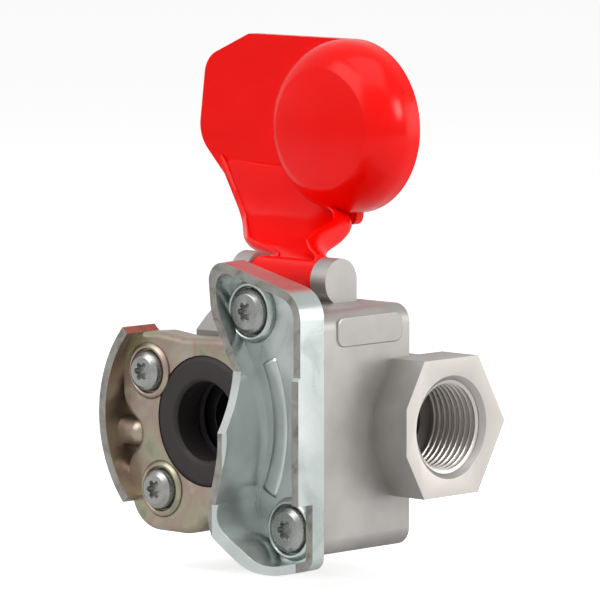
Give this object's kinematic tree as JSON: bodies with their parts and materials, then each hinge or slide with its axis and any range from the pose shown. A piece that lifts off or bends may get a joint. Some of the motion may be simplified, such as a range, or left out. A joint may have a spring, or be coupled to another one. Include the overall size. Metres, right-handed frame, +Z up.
{
  "type": "gladhand air brake coupler",
  "caption": "Palm coupler for a trailer air line: cast housing with hexagonal hose port, pressed claw and catch plates, rubber face seal and hinged lid.",
  "frame": {"origin": "centre of the face seal's contact face", "axes": "-Y out of the coupling face, +X out of the hose port, +Z up through the raised lid"},
  "size_m": [0.092, 0.0665, 0.1117],
  "materials": {
    "cast_aluminium": "die cast, satin",
    "passivated_steel": "yellow passivated zinc",
    "zinc_plated_steel": "bright zinc",
    "rubber": "moulded rubber",
    "sleeve_metal": "dark anodised",
    "spring_steel": "drawn",
    "screw_steel": "zinc plated",
    "red_plastic": "moulded, glossy"
  },
  "bodies": {
    "coupler": {"housing": "cast_aluminium", "face_plate": "passivated_steel", "guide_claw": "zinc_plated_steel", "face_seal": "rubber", "valve_spring": "spring_steel", "spring_seat": "spring_steel", "stop_ring": "spring_steel", "face_screw_upper": "screw_steel", "face_screw_lower": "screw_steel", "claw_screw_upper": "screw_steel", "claw_screw_lower": "screw_steel", "lid_pin": "screw_steel"},
    "lid_body": {"lid": "red_plastic"},
    "sleeve": {"valve_sleeve": "sleeve_metal", "sleeve_oring": "rubber"}
  },
  "joints": [
    {"name": "lid_pivot", "type": "hinge", "parent": "coupler", "child": "lid_body", "pos_m": [0.0095, 0.0182, 0.031], "axis": [1, 0, 0], "range_deg": [0, 180]},
    {"name": "sleeve_slide", "type": "slide", "parent": "coupler", "child": "sleeve", "axis": [0, 1, 0], "range_m": [0, 0.004], "stiffness_N_per_m": 2000, "springref_m": -0.004, "deforming": ["valve_spring"]}
  ]
}
